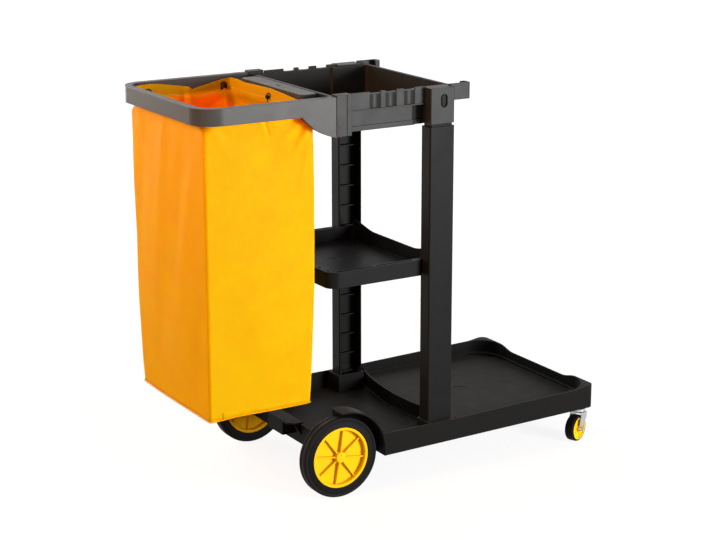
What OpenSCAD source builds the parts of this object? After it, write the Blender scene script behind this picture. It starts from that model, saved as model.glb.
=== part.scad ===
// Janitor cart: a base with a front platform, two posts, a middle shelf,
// a top tray, and a bag that hangs in a frame behind the tray.
// Millimetres, Z up. The origin is on the floor under the middle of the cart.
// +X points to the platform, the bag hangs at -X, and the two sides are alike.

/* [Overall] */
// Length over the bag frame and the platform
cart_l = 1120; // [1096:2:1156]
// Width over the walls of the base
cart_w = 505; // [495:1:520]
// Height of the tray rim above the floor
rim_top = 988; // [960:1:1020]

/* [Base deck] */
// Height of the lower edge of the skirt at the rear wheels
skirt_z = 86; // [84:0.5:88]
// Rise of that edge from the rear wheels to the front
skirt_rise = 10; // [0:0.5:12]
// Height of the floor of the rear well
well_z = 95; // [94:0.5:97]
// Height of the platform floor
deck_z = 117; // [114:0.5:120]
// Height of the side walls at the posts
wall_z = 144; // [141:0.5:147]
// Rise of the side walls from the posts to the front
wall_rise = 9; // [4:0.5:12]
// Rise of the two front corners above the side walls
corner_rise = 4; // [0:0.5:8]
// Height of the front wall between the corners
front_z = 146; // [142:0.5:149]
// Wall thickness of the base
deck_t = 4; // [3.5:0.25:4.5]
// Corner radius of the base in plan
deck_r = 18; // [14:1:24]
// Height of the divider between the rear well and the platform
divider_z = 133; // [128:0.5:138]
// How far the divider bows towards the bag
divider_bow = 28; // [20:0.5:34]
// Height of the curb round the platform floor
curb_h = 6.5; // [3:0.5:9]
// Radius of the front corners of the platform floor
curb_r = 90; // [60:1:110]
// Radius of the filled front corners inside the walls
fill_r = 75; // [50:1:85]
// Pitch of the ribs under the platform
rib_pitch = 84; // [70:1:96]

/* [Rear wheels] */
// Diameter of a rear wheel
wheel_d = 203.2; // [198:0.2:207]
// Width of a rear tyre
wheel_w = 32; // [30:0.5:34]
// Distance of the axle behind the front wall
axle_back = 770; // [758:1:778]
// Diameter of the axle
axle_d = 12; // [10:0.5:12.5]
// Number of ribs on a wheel hub
hub_ribs = 8; // [6:1:10]
// Gap between a tyre and the mudguard over it
guard_gap = 11.4; // [9:0.2:15]

/* [Casters] */
// Diameter of a caster wheel
caster_d = 70; // [66:0.5:72]
// Width of a caster tyre
caster_w = 27; // [24:0.5:28]
// Distance of the caster wheel behind its swivel
caster_trail = 17.5; // [15:0.5:20]
// Angle of the casters as they stand
caster_turn = 22; // [0:1:45]

/* [Posts] */
// Width of a post along the cart
post_w = 70; // [66:0.5:74]
// Depth of a post across the cart
post_d = 40; // [38:0.5:43]
// Radius of the upright edges of a post
post_r = 3.5; // [2.5:0.25:5]
// Wall thickness of a post
post_t = 4; // [3.5:0.25:4.5]
// Pitch of the cross ribs inside a post
post_rib = 54; // [45:1:70]

/* [Shelf and tray] */
// Height of the rim of the middle shelf
shelf_z = 556.5; // [520:0.5:600]
// Depth of the middle shelf from rim to underside
shelf_h = 40; // [36:0.5:46]
// Depth of the tray from rim to underside
tray_h = 95; // [85:1:100]
// Wall thickness of the shelf, the tray and the bag frame
skin_t = 3.5; // [3:0.25:4]

/* [Bag and its frame] */
// Width over the rails of the bag frame
frame_w = 452; // [440:1:460]
// Height of the rail of the bag frame
rail_h = 39.5; // [36:0.5:44]
// Thickness of the rail of the bag frame
rail_w = 19; // [17:0.5:21]
// Corner radius of the bag frame
rail_r = 58; // [50:1:66]
// Height of the underside of the bag
bag_z = 236; // [200:1:280]
// Thickness of the bag cloth as a solid
bag_t = 2; // [1.5:0.25:2.5]

/* [Hidden] */
$fn = 96;

plastic = [0.14, 0.14, 0.14];
black = [0.09, 0.09, 0.09];
yellow = [0.96, 0.80, 0.05];
cloth = [1.0, 0.71, 0.10];
zinc = [0.74, 0.75, 0.76];
steel = [0.62, 0.63, 0.65];

// Overall places
xf = cart_l / 2;
hw = cart_w / 2;
// Clearances: a slack fit, a running fit, a snug fit and a press fit
loose = 0.2;
run = 0.08;
snug = 0.05;
press = 0.02;
// Radius of the screws and of the pins that hold the shelf
screw_r = 2.25;
screw_room = screw_r + 0.35;
pin_r = 4;

// Posts stand in the base and carry the shelf and the tray
post_x = xf - 478.5;
post_out = hw - 17;
post_in = post_out - post_d;
sock_t = skin_t + 0.1;
spig_hw = post_w / 2 - 1 - sock_t - loose;
spig_out = post_out - sock_t - loose;
spig_in = post_in + sock_t + loose;
spig_t = 3.5;
foot_t = 6;
foot_z = well_z - deck_t + foot_t;
post_top = rim_top - 99;
sock_z0 = post_top + 7;
sock_top = rim_top - 5;
latch = [19, 33];
latch_x = post_x + 4;
latch_z = rim_top - 37;

// Rear wheels on one axle
wheel_r = wheel_d / 2;
axle_r = axle_d / 2;
axle_x = xf - axle_back;
axle_z = wheel_r;
wheel_in = hw - 8 - wheel_w;
well_y = wheel_in - 5.5;
hub_r = wheel_r * 0.753;
hub_lip = 1.5;
bush_r = axle_r + 3;
hub_pocket = bush_r + 1.2;
boss_w = hub_pocket + 3.4;
bush_end = 24;
clip_z = bush_end + 0.6;
clip_t = 1.2;
axle_end = wheel_in + clip_z + clip_t + 1;
guard_x = axle_x + 8;
guard_r = wheel_r + guard_gap;

// Base
rear_x = axle_x - 14;
step_x = rear_x - 34;
step_hw = 37;
step_lip = 75;
div_x = post_x + post_w / 2 + 18.5;
div_r = (pow(200, 2) + pow(divider_bow, 2)) / (2 * divider_bow);
div_c = div_x - divider_bow + div_r;
corner_z = wall_z + wall_rise + corner_rise;
tunnel_r = axle_r + 6;
// Width of the curb at the sides and at the front, and of the strip at the foot of the divider
curb_side = 12;
curb_front = 5;
foot_strip = [8, 3];

// Casters stand under the front corners
stem_x = xf - 20;
stem_y = hw - 36.5;
stem_r = 5;
boss_r = 12.5;
boss_z = skirt_z - 1;
caster_r = caster_d / 2;
cup_h = 7;
ball_r = 2.4;
ball_ring = 11;
crown_t = 2.5;
crown_l = 11.5;
crown_z = boss_z - 3 - 2 * ball_r - 0.5 - crown_t;
leg_in = caster_w / 2 + 2.4;
leg_t = 2;
bolt_r = 3;

// Tray
tray_x0 = xf - 762.5;
tray_x1 = post_x + 53.5;
tray_y = hw - 41.5;
ledge_z = rim_top - 8;
strip_z = rim_top - 2.5;
skirt_h = 45;
lip_h = 3;
lip_t = 2;
tray_z = rim_top - tray_h;
bin_y = tray_y - 23;
bin_wide = tray_y - 17;
bin_r = 8;
bin_x1 = post_x - 56.5;
lug_x0 = tray_x0 - 6;
lug_l = 40;
lug_z = rim_top - 98;
hook_y = post_out - 16;
hook_l = 38;
hook_t = 6;
// Notches for tool handles: shallow round hollows below, dips in the raised strip above
notch_w = 31;
notch_deep = 5;
notch_r = (pow(notch_w / 2, 2) + pow(notch_deep, 2)) / (2 * notch_deep);
notch_x = [tray_x0 + 109, tray_x0 + 153, tray_x0 + 205];

// Bag frame and crossbar
rail_x0 = -cart_l / 2;
rail_x1 = lug_x0;
rail_y = frame_w / 2;
rail_top = rim_top - 4;
rail_z = rail_top - rail_h;
leg_z = rim_top - 100;
leg_l = 12;
// The gusset is a part of a large disc whose middle is past the joint
gusset_l = 94;
gusset_r = 167;
gusset_x = 38;
gusset_z = sqrt(pow(gusset_r, 2) - pow(gusset_x, 2));
tongue_l = 30;
tongue_z0 = rim_top - 82;
tongue_z1 = rim_top - 22;
tongue_y = [rail_y - 15, rail_y - 5];
tongue_mid = [lug_x0 + tongue_l / 2, rail_y - 10];
// The block for the tongue starts inside the tray's wall and covers the tongue
block_wall = 8;
block_y = min(tongue_y[0], tray_y) - block_wall;
bar_w = 43;
bar_x1 = tray_x0 - 14;
bar_x0 = bar_x1 - bar_w;
bar_h = 36;
// The plate of the crossbar ends short of the rails, and its ends lie lower
bar_y = 152;
bar_drop = 12;
bar_reach = rail_y - rail_w;

// Bag
bag_gap = 2.2;
bag_x0 = rail_x0 + rail_w + bag_gap;
bag_x1 = bar_x0 - bag_gap;
bag_y = rail_y - rail_w - bag_gap;
bag_top = rail_top - 14;
// Heights of the upright foot and hem of the bag, and the corner radii of its plan
bag_foot = 25;
bag_hem = 34;
foot_r = 12;
hem_r = rail_r - rail_w - 1;
bar_r = 8;
bag_taper = 12;
peg_z = rail_top - 26;
peg_r = 3.2;
peg_head = 6;
eye_r = 7;
eye_seat = bag_gap + bag_t + 0.15;
eye_plate = [18, 26];
eye_drop = 3;

// Shelf
shelf_x0 = tray_x0 - 14;
shelf_x1 = post_x + 10.5;
shelf_xp = post_x - post_w / 2 - 5;
shelf_y = hw - 46.5;
shelf_in = shelf_y - 17;
shelf_b = shelf_z - shelf_h;
shelf_floor = shelf_b + skin_t;
tongue_b = shelf_floor + 1;
tongue_t = shelf_z - 8;
panel_h = 3;
panel_in = 10;
rib_t = 3;

// A smooth step from 0 to 1
function ease(t) = t <= 0 ? 0 : t >= 1 ? 1 : t * t * (3 - 2 * t);
// Height of the side walls at a place along the cart
function side_top(x) = wall_z + wall_rise * max(0, (x - div_x) / (xf - div_x))
    + corner_rise * ease((x - xf + 60) / 45);
// Height of the front wall at a place across the cart
function front_top(y) = front_z + (corner_z - front_z) * ease((abs(y) - hw + 140) / 60);
// Height of the end wall of the shelf at a place across the cart
function end_top(y) = shelf_z + 14 * ease((abs(y) - 90) / 95);

// A rectangle with round corners, from one corner to the other
module round_rect(x0, y0, x1, y1, r) {
    translate([x0 + r, y0]) square([x1 - x0 - 2 * r, y1 - y0]);
    translate([x0, y0 + r]) square([x1 - x0, y1 - y0 - 2 * r]);
    for (x = [x0 + r, x1 - r], y = [y0 + r, y1 - r]) translate([x, y]) circle(r);
}

// A slot with round ends, upright if it is taller than wide
module slot(w, h) {
    r = min(w, h) / 2;
    square([max(w - 2 * r, 2 * r), max(h - 2 * r, 2 * r)], center = true);
    for (s = [-1, 1]) translate([s * (w / 2 - r), s * (h / 2 - r)]) circle(r);
}

// A box between two opposite corners
module box(a, b) translate(a) cube(b - a);

// A profile drawn in X and Z, drawn out along Y
module along_y(y0, y1) translate([0, y1, 0]) rotate([90, 0, 0]) linear_extrude(y1 - y0) children();

// A profile drawn in Y and Z, drawn out along X
module along_x(x0, x1) translate([x0, 0, 0]) rotate([90, 0, 90]) linear_extrude(x1 - x0) children();

// A plan, drawn out upwards
module rise(z0, z1) translate([0, 0, z0]) linear_extrude(z1 - z0) children();

// A shape and its mirror on the other side of the cart
module both_sides() {
    children();
    mirror([0, 1, 0]) children();
}

// Base deck

// Plan of the base with its round corners
module deck_plan(inset) round_rect(rear_x + inset, inset - hw, xf - inset, hw - inset, deck_r - inset);

// Plan of the platform side of the divider
module platform_plan(inset) translate([div_c, 0]) circle(div_r - inset, $fn = 360);

// The walls all round, cut to their heights
// Plan of the two filled front corners, between the walls and a round
module corner_fill() both_sides() translate([xf - deck_t - fill_r, hw - deck_t - fill_r]) difference() {
    square(fill_r + deck_t - 1);
    circle(fill_r);
}

module deck_walls() {
    n = 24;
    high = corner_z + 5;
    step = (xf + 2 - rear_x) / n;
    side = [for (i = [n:-1:0]) let (x = rear_x - 1 + i * step) [x, side_top(x)]];
    fine = [for (i = [16:-1:0]) let (x = xf - 88 + i * 5.6) [x, side_top(x)]];
    coarse = [for (p = side) if (p[0] < xf - 90) p];
    front = [for (i = [60:-1:0]) let (y = -hw - 1 + i * (2 * hw + 2) / 60) [y, front_top(y)]];
    difference() {
        union() {
            rise(skirt_z, high) difference() {
                deck_plan(0);
                deck_plan(deck_t);
            }
            rise(deck_z - 1, high) intersection() {
                deck_plan(1);
                corner_fill();
            }
        }
        along_y(-hw - 1, hw + 1) polygon(concat(
            [[rear_x - 1, high + 1], [xf + 2, high + 1]], fine, coarse));
        along_x(xf - deck_t - fill_r, xf + 1) polygon(concat(
            [[-hw - 1, high + 1], [hw + 1, high + 1]], front));
        along_y(-hw - 1, hw + 1) polygon([[guard_x + guard_r, skirt_z], [guard_x + guard_r, skirt_z - 1],
            [xf + 1, skirt_z - 1], [xf + 1, skirt_z + skirt_rise]]);
        box([rear_x - 1, -hw - 1, wall_z - 8], [rear_x + deck_t + 1, hw + 1, high + 1]);
    }
}

// Plan of the platform floor inside its curb, with wide front corners
module curb_plan() round_rect(div_x - 250, deck_t + curb_side - hw, xf - deck_t - curb_front,
    hw - deck_t - curb_side, curb_r);

// The two floors, with the divider and the curb
module deck_floors() {
    rise(well_z - deck_t, well_z) difference() {
        deck_plan(1);
        platform_plan(deck_t);
    }
    rise(deck_z - deck_t, deck_z) intersection() {
        deck_plan(1);
        platform_plan(1);
    }
    rise(well_z - deck_t, divider_z) intersection() {
        difference() {
            platform_plan(0);
            platform_plan(deck_t);
        }
        translate([div_x - 60, 1 - hw]) square([120, 2 * hw - 2]);
    }
    rise(deck_z - 1, deck_z + curb_h) difference() {
        intersection() {
            deck_plan(1);
            platform_plan(1);
        }
        curb_plan();
    }
    rise(well_z - 1, well_z + foot_strip[1]) intersection() {
        difference() {
            platform_plan(-foot_strip[0]);
            platform_plan(1);
        }
        translate([div_x - 60, deck_t / 2 - hw]) square([120, 2 * hw - deck_t]);
    }
}

// The pocket blocks that the posts stand in
module post_blocks() both_sides() difference() {
    box([post_x - post_w / 2 - 4, post_in - 4, well_z - deck_t], [post_x + post_w / 2 + 4, hw - 1, wall_z]);
    box([post_x - spig_hw - loose, spig_in - loose, foot_z],
        [post_x + spig_hw + loose, spig_out + loose, wall_z + 1]);
}

// Side view of a mudguard: a ring from the front of the wheel to just past its top
module guard_arc(r0, r1) intersection() {
    translate([guard_x, axle_z]) difference() {
        circle(r1, $fn = 180);
        circle(r0, $fn = 180);
    }
    translate([guard_x - 10, skirt_z]) square([guard_r + 30, guard_r + 60]);
}

// The mudguards, with a wall between each wheel and the rear well
module mudguards() both_sides() {
    along_y(well_y - deck_t, hw) guard_arc(guard_r, guard_r + deck_t);
    along_y(well_y - deck_t, well_y) {
        guard_arc(axle_r + 4, guard_r + 1);
        translate([rear_x, skirt_z]) square([guard_x - rear_x, wall_z - skirt_z]);
    }
}

// Room for the rear wheels, taken out of the walls and the floor
module wheel_room() both_sides() along_y(well_y, hw + 1) {
    translate([guard_x, axle_z]) circle(guard_r, $fn = 180);
    translate([rear_x - 1, 0]) square([guard_x - rear_x + 1, 2 * guard_r]);
}

// The step block behind the rear wall, hollow from below
module rear_step() {
    difference() {
        box([step_x, -step_hw, wall_z - 39], [rear_x + 1, step_hw, wall_z]);
        box([step_x + deck_t, deck_t - step_hw, wall_z - 40],
            [rear_x - 1, step_hw - deck_t, wall_z - deck_t]);
    }
    difference() {
        box([step_x, -step_lip, wall_z - deck_t], [rear_x + deck_t, step_lip, wall_z]);
        for (s = [-1, 1]) translate([step_x, s * step_lip, 0])
            rotate(45) cube([20, 20, 400], center = true);
    }
    both_sides() along_y(step_lip - 9, step_lip - 5)
        polygon([[rear_x + 1, wall_z - 39], [rear_x + 1, wall_z - 1], [step_x + 14, wall_z - 1]]);
}

// Ribs under the platform and bosses for the casters
module deck_ribs() {
    z0 = skirt_z + skirt_rise + 1;
    z1 = deck_z - deck_t + 0.5;
    nx = floor((xf - div_x - 30) / rib_pitch);
    ny = floor((hw - 40) / rib_pitch);
    for (i = [1:nx]) translate([div_x + i * rib_pitch, 0, 0])
        box([-rib_t / 2, 1 - hw, z0], [rib_t / 2, hw - 1, z1]);
    for (j = [-ny:ny]) translate([0, j * rib_pitch, 0])
        box([div_x, -rib_t / 2, z0], [xf - 1, rib_t / 2, z1]);
    both_sides() translate([stem_x, stem_y, boss_z]) cylinder(r = boss_r, h = deck_z - boss_z - 1);
}

module base_deck() color(plastic) difference() {
    union() {
        difference() {
            union() {
                deck_walls();
                deck_floors();
                post_blocks();
            }
            wheel_room();
        }
        mudguards();
        rear_step();
        deck_ribs();
        along_y(-well_y, well_y) translate([axle_x, axle_z]) circle(tunnel_r);
    }
    along_y(-hw, hw) translate([axle_x, axle_z]) circle(axle_r + 0.3);
    both_sides() {
        translate([stem_x, stem_y, boss_z - 1]) cylinder(r = stem_r + snug, h = deck_z - boss_z - 4);
        translate([post_x, (spig_in + spig_out) / 2, 0]) cylinder(r = screw_room, h = well_z + 10);
        translate([stem_x + 4, hw, boss_z + 25]) rotate([90, 0, 0]) cylinder(r = 3, h = 4, center = true);
    }
    translate([xf - 254, 0, deck_z - 0.6]) difference() {
        cylinder(r = 21, h = 2);
        cylinder(r = 3, h = 2, center = true);
    }
}

// Posts

// Plan of a channel that is open towards the middle of the cart
module channel(half, y0, y1, t, r) difference() {
    round_rect(-half, y0, half, y1, r);
    translate([t - half, y0 - 1]) square([2 * (half - t), y1 - y0 - t + 1]);
}

// One post on the left side, with its spigots, ribs and latch
module post() difference() {
    translate([post_x, 0, 0]) {
        rise(wall_z, post_top) channel(post_w / 2, post_in, post_out, post_t, post_r);
        rise(foot_z, wall_z + 12) channel(spig_hw, spig_in, spig_out, spig_t, 2);
        rise(post_top - 12, sock_top - sock_t) channel(spig_hw, spig_in, spig_out, spig_t, 2);
        box([-spig_hw, spig_in, foot_z], [spig_hw, spig_out, foot_z + 6]);
        for (z = [tongue_b - rib_t : -post_rib : wall_z + 14]) post_web(z);
        for (z = [tongue_t + loose : post_rib : post_top - 14]) post_web(z);
        for (z = [wall_z, post_top - rib_t]) post_web(z);
        translate([latch_x - post_x, spig_out - 1, latch_z]) rotate([-90, 0, 0])
            linear_extrude(3.2) slot(latch[0] / 2, latch[1] - 7);
    }
    translate([post_x, (spig_in + spig_out) / 2, 0]) cylinder(r = screw_r + snug, h = foot_z + 20);
    translate([post_x, post_in + 13, (tongue_b + tongue_t) / 2])
        rotate([0, 90, 0]) cylinder(r = pin_r + snug, h = 60);
}

// A cross rib inside a post, set back from its open side
module post_web(z) box([1 - post_w / 2, post_in + 22, z], [post_w / 2 - 1, post_out - 1, z + rib_t]);

module left_post() color(plastic) post();
module right_post() color(plastic) mirror([0, 1, 0]) post();

// Middle shelf

// Plan of the shelf bin, widened by the wall where asked
module shelf_bin(grow)
    round_rect(shelf_x0 + 18 - grow, -shelf_in - grow, shelf_x1 - skin_t, shelf_in + grow, 20);

// Plan of the hollow rim, up to the posts
module shelf_plan(inset) intersection() {
    round_rect(shelf_x0 + inset, inset - shelf_y, shelf_xp + 60, shelf_y - inset, 28 - inset);
    translate([shelf_x0, -shelf_y]) square([shelf_xp - shelf_x0 - inset, 2 * shelf_y]);
}

// The end wall between the posts, higher at its ends
module shelf_end() {
    n = 40;
    y1 = post_in - 3;
    top = [for (i = [n:-1:0]) let (y = -y1 + 2 * y1 * i / n) [y, end_top(y)]];
    along_x(shelf_x1 - skin_t, shelf_x1) polygon(concat([[-y1, shelf_b], [y1, shelf_b]], top));
}

// Holes in the rim: two long slots on each side and two round holes at the bag end
module rim_holes() both_sides() {
    mid = (shelf_x0 + shelf_xp) / 2;
    run_l = (shelf_xp - shelf_x0) / 2 - 26;
    for (s = [-1, 1]) translate([mid + s * (run_l / 2 + 5), shelf_y - 8.5]) slot(run_l, 7);
    for (y = [shelf_y - 27, shelf_y - 68]) translate([shelf_x0 + 9.5, y]) circle(4);
}

// The raised middle of the shelf floor, with the round mark of the mould
module shelf_panel() difference() {
    rise(shelf_floor - 1, shelf_floor + panel_h) round_rect(shelf_x0 + 18 + panel_in, panel_in - shelf_in,
        shelf_x1 - skin_t - panel_in, shelf_in - panel_in, 20 - panel_in / 2);
    translate([shelf_x0 + 142, 20, shelf_floor + panel_h - 0.6]) difference() {
        cylinder(r = 15, h = 2);
        cylinder(r = 2.5, h = 2, center = true);
    }
}

module shelf_body() difference() {
    union() {
        rise(shelf_b, shelf_z) difference() {
            shelf_bin(skin_t);
            translate([shelf_x1 - skin_t, -hw]) square([50, cart_w]);
        }
        rise(shelf_b, shelf_z) difference() {
            shelf_plan(0);
            shelf_plan(skin_t);
        }
        rise(shelf_z - skin_t, shelf_z) shelf_plan(0);
        shelf_end();
        both_sides() {
            box([shelf_xp - 1, shelf_in - 1, shelf_b], [shelf_x1, post_in - 3, shelf_b + skin_t]);
            box([shelf_xp - 1, post_in - 3 - skin_t, shelf_b], [shelf_x1, post_in - 3, shelf_z]);
            box([shelf_xp - 1, shelf_in - 1, shelf_z - skin_t], [shelf_x1, post_in - 3, shelf_z]);
            box([post_x - post_w / 2 + post_t + 3, post_in - 5, tongue_b],
                [post_x + post_w / 2 - post_t - 3, post_out - post_t - 2, tongue_t]);
        }
    }
    rise(shelf_floor, shelf_z + 30) difference() {
        shelf_bin(0);
        translate([shelf_x1 - skin_t, -hw]) square([50, cart_w]);
    }
    rise(shelf_z - skin_t - 1, shelf_z + 1) rim_holes();
    both_sides() {
        box([post_x - post_w / 2 + post_t + 6, post_in + 2, tongue_b + 3],
            [post_x + 8, post_out - post_t - 5, tongue_t + 1]);
        translate([post_x + 4, post_in + 13, (tongue_b + tongue_t) / 2])
            rotate([0, 90, 0]) cylinder(r = pin_r + snug, h = 60);
    }
}

module mid_shelf() color(plastic) {
    shelf_body();
    shelf_panel();
}

// Top tray

// Plan of the bin: a little wider as far as the post sockets
module tray_bin(grow) {
    round_rect(tray_x0 + 8 - grow, -bin_y - grow, tray_x1 - 8 + grow, bin_y + grow, bin_r + grow);
    round_rect(tray_x0 + 8 - grow, -bin_wide - grow, bin_x1 + grow, bin_wide + grow, bin_r + grow);
}

// Plan of the rim, with its round corners
module tray_plan(inset)
    round_rect(tray_x0 + inset, inset - tray_y, tray_x1 - inset, tray_y - inset, 14 - inset);

// A socket that takes the top of a post
module post_socket() difference() {
    rise(sock_z0, sock_top)
        round_rect(post_x - post_w / 2 + 1, post_in, post_x + post_w / 2 - 1, post_out, post_r - 1);
    box([post_x - spig_hw - loose, spig_in - loose, sock_z0 - 1],
        [post_x + spig_hw + loose, spig_out + loose, sock_top - sock_t]);
    translate([latch_x, post_out - 10, latch_z]) rotate([-90, 0, 0])
        linear_extrude(20) slot(latch[0], latch[1]);
}

// A block that takes the tongue of the bag frame, with a groove in its outer face
module frame_block() difference() {
    box([lug_x0, block_y, lug_z], [lug_x0 + lug_l, rail_y + 1.5, rim_top]);
    box([lug_x0 + 26, rail_y + 0.7, lug_z - 1], [lug_x0 + 29, rail_y + 2, rim_top + 1]);
}

// The pocket in that block and the hole for its screw, from below
module frame_pocket() {
    box([lug_x0 - 1, tongue_y[0] - loose, tongue_z0 - loose],
        [lug_x0 + tongue_l + 1, tongue_y[1] + loose, tongue_z1 + loose]);
    translate([tongue_mid[0], tongue_mid[1], lug_z - 1]) cylinder(r = screw_room, h = 20);
}

// A hook arm past the end of the tray, its tip turned inwards
module hook_arm() {
    tip = tray_x1 + hook_l;
    rise(rim_top - 41, rim_top - 1) difference() {
        round_rect(post_x, hook_y - 26, tip, hook_y, hook_t);
        translate([post_x - 1, hook_y - 27]) square([post_w / 2 - 1, 28]);
        translate([post_x, hook_y - 20]) square([tip - hook_t - post_x, 20 - hook_t]);
        translate([post_x, hook_y - 27]) square([tip - 15 - post_x, 27 - hook_t]);
    }
}

// A row of handle notches in one long rim, with a raised strip between them
module tool_strip() difference() {
    union() {
        box([tray_x0 + 20, tray_y - 5, ledge_z - 1], [tray_x1 - 6, tray_y, strip_z]);
        for (x = notch_x) box([x - notch_w / 2 - 4, tray_y - 10, rim_top - skirt_h],
            [x + notch_w / 2 + 4, tray_y - 0.5, ledge_z - 0.5]);
    }
    for (x = notch_x) box([x - notch_w / 2, tray_y - 20, ledge_z], [x + notch_w / 2, tray_y + 1, rim_top]);
    notch_hollows();
}

// The round hollows below the notches, down to the lip of the skirt
module notch_hollows() for (x = notch_x)
    translate([x, tray_y - notch_deep + notch_r, rim_top - skirt_h + lip_h])
        cylinder(r = notch_r, h = skirt_h);

module top_tray() color(plastic) difference() {
    union() {
        rise(tray_z, ledge_z) tray_bin(skin_t);
        rise(tray_z, tray_z + 12) tray_bin(skin_t + 2.5);
        difference() {
            union() {
                rise(rim_top - skirt_h, ledge_z) difference() {
                    tray_plan(0);
                    tray_plan(skin_t);
                }
                rise(rim_top - skirt_h, rim_top - skirt_h + lip_h) difference() {
                    tray_plan(-lip_t);
                    tray_plan(skin_t);
                }
                rise(ledge_z - skin_t, ledge_z) tray_plan(0);
                both_sides() box([post_x - 26, bin_y, sock_z0 + 4],
                    [post_x + 26, post_in + 1, sock_z0 + 4 + skin_t]);
            }
            both_sides() {
                box([post_x - post_w / 2 + 2, post_in + 1, 0], [post_x + post_w / 2 - 2, hw, rim_top + 1]);
                notch_hollows();
            }
        }
        both_sides() {
            post_socket();
            frame_block();
            hook_arm();
            difference() {
                tool_strip();
                box([post_x - post_w / 2 + 2, post_in + 1, 0], [post_x + post_w / 2 - 2, hw, rim_top + 1]);
                box([tray_x0 - 1, 0, 0], [tray_x0 + lug_l - 1, hw, rim_top + 1]);
            }
        }
    }
    rise(tray_z + skin_t, rim_top + 5) tray_bin(0);
    both_sides() frame_pocket();
}

// Bag frame and crossbar

// Plan of the U-shaped rail at a distance inside its outer face
module rail_plan(inset) intersection() {
    round_rect(rail_x0 + inset, inset - rail_y, rail_x1 + 100, rail_y - inset, rail_r - inset);
    translate([rail_x0, -rail_y]) square([rail_x1 - rail_x0, 2 * rail_y]);
}

// The end of the rail at the joint, with its round gusset and its tongue
module rail_leg() {
    along_y(rail_y - rail_w, rail_y) intersection() {
        translate([rail_x1 - gusset_l, leg_z]) square([gusset_l, rail_z - leg_z + 1]);
        translate([rail_x1 + gusset_x, leg_z + gusset_z]) circle(gusset_r, $fn = 180);
    }
    box([rail_x1 - leg_l, rail_y - rail_w, rail_z], [rail_x1, rail_y, rail_top - 1]);
    box([rail_x1 - 1, tongue_y[0], tongue_z0], [rail_x1 + tongue_l, tongue_y[1], tongue_z1]);
}

module bag_frame() color(plastic) difference() {
    union() {
        difference() {
            rise(rail_z, rail_top) difference() {
                rail_plan(0);
                rail_plan(rail_w);
            }
            rise(rail_z - 1, rail_top - skin_t) difference() {
                rail_plan(skin_t);
                rail_plan(rail_w - skin_t);
            }
        }
        both_sides() rail_leg();
    }
    both_sides() {
        bar_end(loose);
        translate([tongue_mid[0], tongue_mid[1], tongue_z0 - 1]) cylinder(r = screw_r + snug, h = 16);
        for (p = side_pegs()) translate([p, bar_reach - 1, peg_z]) rotate([-90, 0, 0])
            cylinder(r = peg_r + press, h = 6);
        translate([bar_x0 + bar_w / 2, rail_y - rail_w / 2, rail_top - 10]) linear_extrude(20) slot(20, 6);
    }
    translate([rail_x0 + rail_w - 5, 0, peg_z]) rotate([0, 90, 0]) cylinder(r = peg_r + press, h = 6);
}

// Tab at the end of the crossbar that sits in the rail
module bar_end(gap) box([bar_x0 + 9 - gap, bar_reach - 3, rail_top - 26 - gap],
    [bar_x1 - 9 + gap, bar_reach + 2.6 + gap, rail_top - 17 + gap]);

// The crossbar at a distance inside its faces: the plate in the middle and the lower ends
module bar_body(inset, z0) {
    rise(z0, rail_top - 1 - inset)
        round_rect(bar_x0 + inset, inset - bar_y, bar_x1 - inset, bar_y - inset, 10 - inset);
    box([bar_x0 + 5 + inset, inset - bar_reach, z0],
        [bar_x1 - 5 - inset, bar_reach - inset, rail_top - bar_drop - inset]);
}

module bag_crossbar() color(plastic) {
    difference() {
        bar_body(0, rail_top - 1 - bar_h);
        bar_body(skin_t, rail_top - 2 - bar_h);
        translate([(bar_x0 + bar_x1) / 2, 0, rail_top - 20]) linear_extrude(40) slot(6, 24);
        translate([bar_x0 - 1, 0, peg_z]) rotate([0, 90, 0]) cylinder(r = peg_r + press, h = 6);
    }
    both_sides() bar_end(0);
}

// Bag on its pegs

// Places of the pegs along each long rail
function side_pegs() = [rail_x0 + rail_r + 14, bag_x1 - 20];

// One round corner of the bag, and its mirror, between two heights
module bag_corner(x, y, r, z0, z1) for (s = [-1, 1])
    translate([x, s * y, z0]) cylinder(r = r, h = z1 - z0, $fn = 32);

// The bag from its foot to its hem: wide rounds in the frame corners, tight ones below and at the crossbar
module bag_body(grow, z0, z1) hull() {
    bag_corner(bag_x0 + 4 + foot_r, bag_y - bag_taper - foot_r, foot_r + grow, z0, bag_z + bag_foot);
    bag_corner(bag_x1 - 4 - foot_r, bag_y - bag_taper - foot_r, foot_r + grow, z0, bag_z + bag_foot);
    bag_corner(bag_x0 + hem_r, bag_y - hem_r, hem_r + grow, bag_top - bag_hem, z1);
    bag_corner(bag_x1 - bar_r, bag_y - bar_r, bar_r + grow, bag_top - bag_hem, z1);
}

module bag() color(cloth) difference() {
    bag_body(0, bag_z, bag_top);
    bag_body(-bag_t, bag_z + bag_t, bag_top + 2);
    both_sides() for (p = side_pegs()) translate([p, bag_y - 10, peg_z])
        rotate([-90, 0, 0]) cylinder(r = eye_r + loose, h = 20);
    for (x = [bag_x0, bag_x1]) translate([x, 0, peg_z])
        rotate([0, 90, 0]) cylinder(r = eye_r + loose, h = 20, center = true);
}

// A mushroom peg that points along +Z from the rail face at the origin
module peg() rotate_extrude() polygon([[0, -2.6], [peg_r, -2.6], [peg_r, 8], [peg_head, 9],
    [peg_head - 1, 12], [0, 12]]);

// An eyelet round a peg, with an upright plate on the inside of the bag
module eyelet() difference() {
    union() {
        translate([0, 0, 0.9]) cylinder(r = eye_r, h = eye_seat);
        translate([0, -eye_drop, eye_seat]) linear_extrude(1.2) slot(eye_plate[0], eye_plate[1]);
    }
    cylinder(r = peg_head + loose, h = 20);
}

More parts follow.
